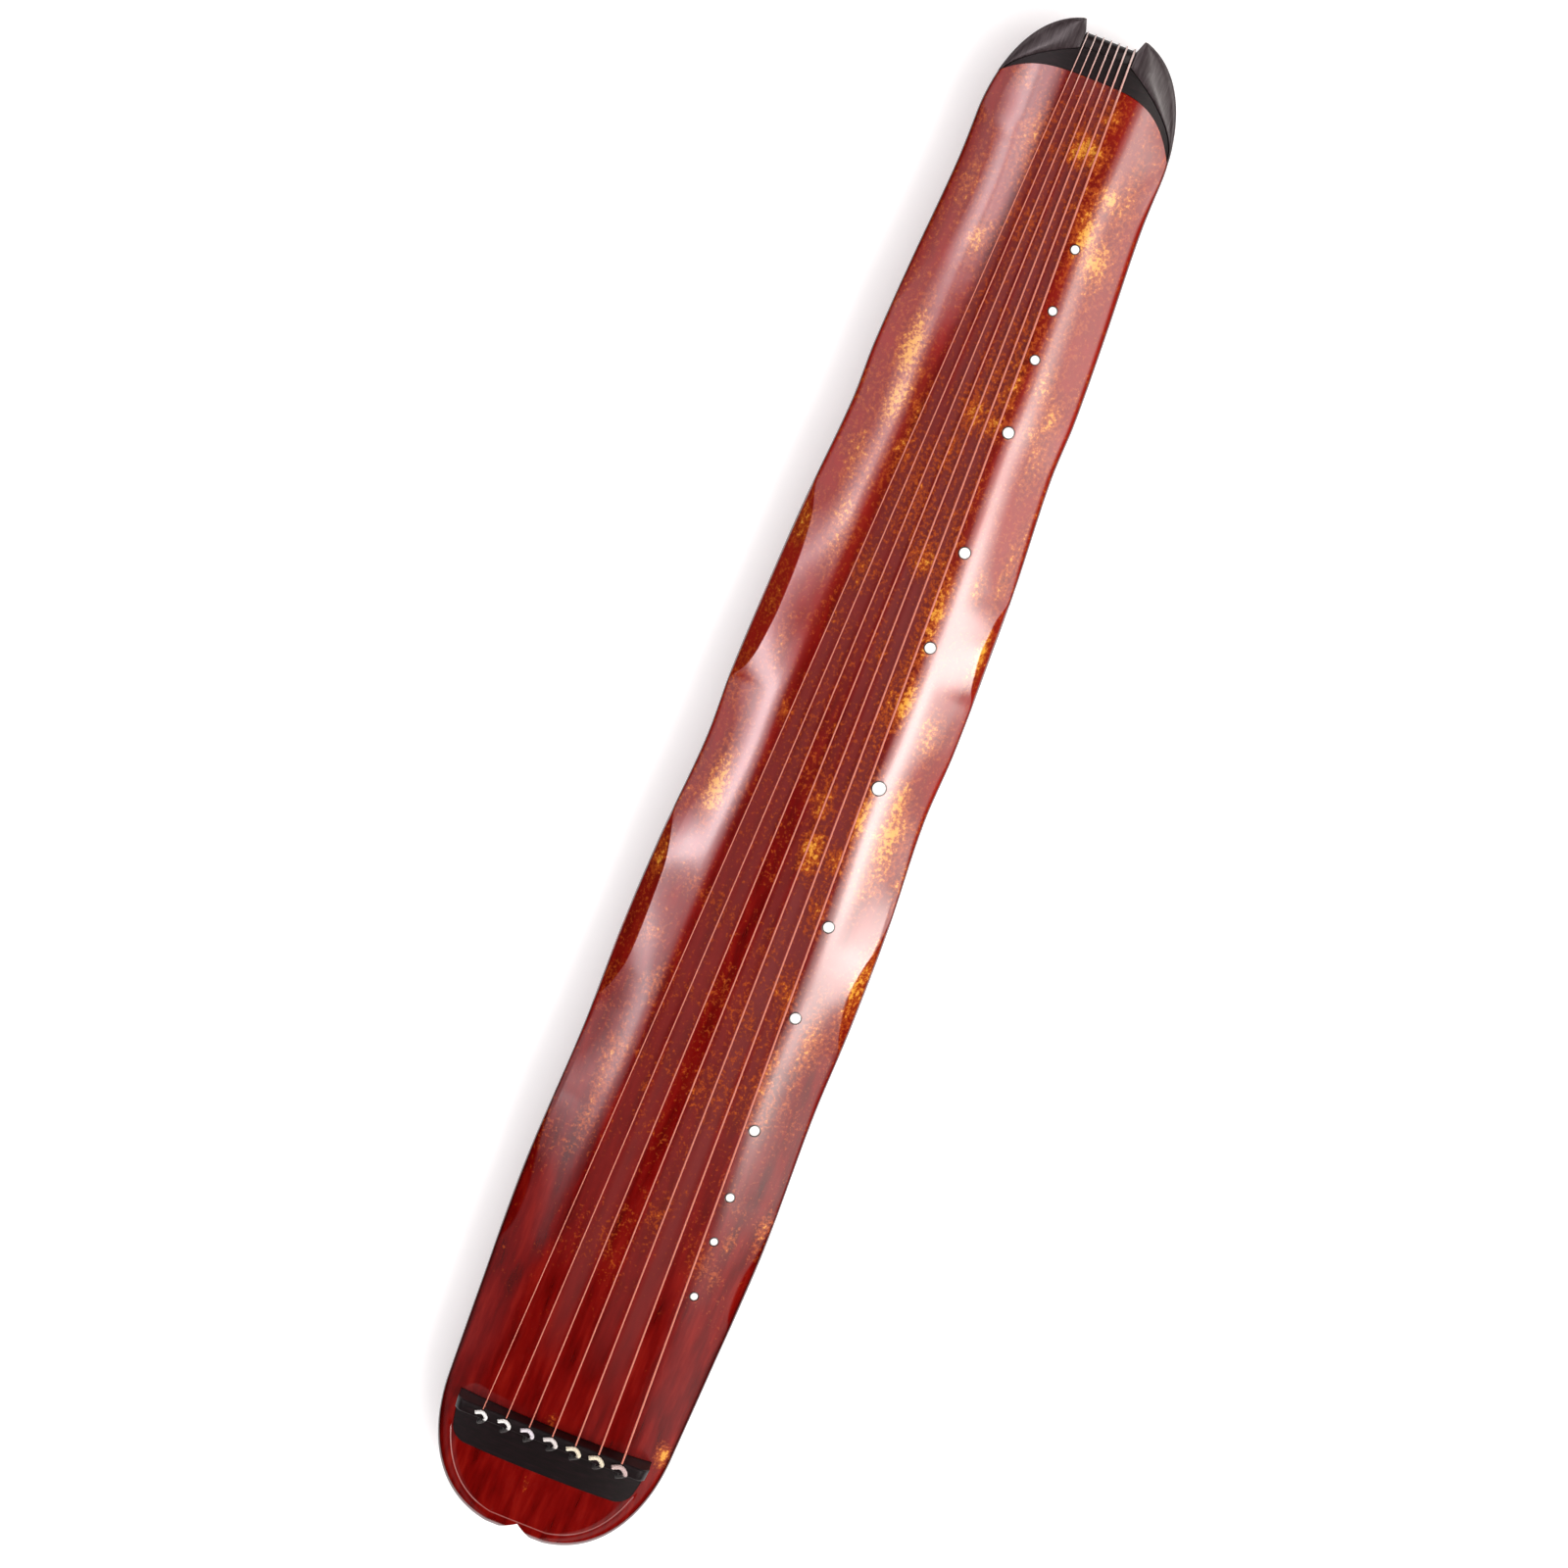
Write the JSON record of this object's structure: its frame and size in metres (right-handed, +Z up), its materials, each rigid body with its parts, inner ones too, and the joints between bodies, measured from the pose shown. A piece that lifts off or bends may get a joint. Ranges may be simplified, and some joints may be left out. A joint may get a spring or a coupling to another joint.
{
  "type": "guqin",
  "caption": "Long seven-string zither with a wavy leaf-shaped lacquered sound box, a raised bridge, inlaid studs, winged tail, goose feet and turning pegs under the head.",
  "frame": {"origin": "on the floor plane under the middle of the body, at the bottom centre of the bounding box", "axes": "+X towards the head and its bridge, +Y towards the side with the studs, +Z up"},
  "size_m": [1.23, 0.196, 0.0874],
  "materials": {
    "red_lacquer": "glossy lacquer, red mottled with gold",
    "dark_hardwood": "polished",
    "wing_wood": "satin",
    "bare_wood": "matt",
    "shell": "polished mother-of-pearl",
    "silk_cord": "twisted silk cord",
    "string_silk": "smooth wound silk"
  },
  "bodies": {
    "body": {"top_board": "red_lacquer", "bottom_board": "red_lacquer", "bridge": "dark_hardwood", "bridge_plate": "dark_hardwood", "tail_nut": "dark_hardwood", "tail_nut_support": "dark_hardwood", "tail_plate": "dark_hardwood", "tail_wing_outer": "wing_wood", "tail_wing_inner": "wing_wood", "sound_post_round": "bare_wood", "sound_post_square": "bare_wood", "goose_foot_outer": "dark_hardwood", "goose_foot_inner": "dark_hardwood", "peg_guard_outer": "dark_hardwood", "peg_guard_inner": "dark_hardwood", "stud_1": "shell", "stud_2": "shell", "stud_3": "shell", "stud_4": "shell", "stud_5": "shell", "stud_6": "shell", "stud_7": "shell", "stud_8": "shell", "stud_9": "shell", "stud_10": "shell", "stud_11": "shell", "stud_12": "shell", "stud_13": "shell", "string_1": "string_silk", "string_2": "string_silk", "string_3": "string_silk", "string_4": "string_silk", "string_5": "string_silk", "string_6": "string_silk", "string_7": "string_silk", "tuning_cord_1": "silk_cord", "tuning_cord_2": "silk_cord", "tuning_cord_3": "silk_cord", "tuning_cord_4": "silk_cord", "tuning_cord_5": "silk_cord", "tuning_cord_6": "silk_cord", "tuning_cord_7": "silk_cord"},
    "tuning_peg_1": {"peg_1": "dark_hardwood", "peg_cord_1": "silk_cord"},
    "tuning_peg_2": {"peg_2": "dark_hardwood", "peg_cord_2": "silk_cord"},
    "tuning_peg_3": {"peg_3": "dark_hardwood", "peg_cord_3": "silk_cord"},
    "tuning_peg_4": {"peg_4": "dark_hardwood", "peg_cord_4": "silk_cord"},
    "tuning_peg_5": {"peg_5": "dark_hardwood", "peg_cord_5": "silk_cord"},
    "tuning_peg_6": {"peg_6": "dark_hardwood", "peg_cord_6": "silk_cord"},
    "tuning_peg_7": {"peg_7": "dark_hardwood", "peg_cord_7": "silk_cord"}
  },
  "joints": [
    {"name": "peg_turn_1", "type": "hinge", "parent": "body", "child": "tuning_peg_1", "pos_m": [0.5345, 0.0573, 0.0217], "axis": [0, 0, 1], "continuous": true},
    {"name": "peg_turn_2", "type": "hinge", "parent": "body", "child": "tuning_peg_2", "pos_m": [0.5345, 0.0382, 0.0217], "axis": [0, 0, 1], "continuous": true},
    {"name": "peg_turn_3", "type": "hinge", "parent": "body", "child": "tuning_peg_3", "pos_m": [0.5345, 0.0191, 0.0217], "axis": [0, 0, 1], "continuous": true},
    {"name": "peg_turn_4", "type": "hinge", "parent": "body", "child": "tuning_peg_4", "pos_m": [0.5345, 0, 0.0217], "axis": [0, 0, 1], "continuous": true},
    {"name": "peg_turn_5", "type": "hinge", "parent": "body", "child": "tuning_peg_5", "pos_m": [0.5345, -0.0191, 0.0217], "axis": [0, 0, 1], "continuous": true},
    {"name": "peg_turn_6", "type": "hinge", "parent": "body", "child": "tuning_peg_6", "pos_m": [0.5345, -0.0382, 0.0217], "axis": [0, 0, 1], "continuous": true},
    {"name": "peg_turn_7", "type": "hinge", "parent": "body", "child": "tuning_peg_7", "pos_m": [0.5345, -0.0573, 0.0217], "axis": [0, 0, 1], "continuous": true}
  ]
}
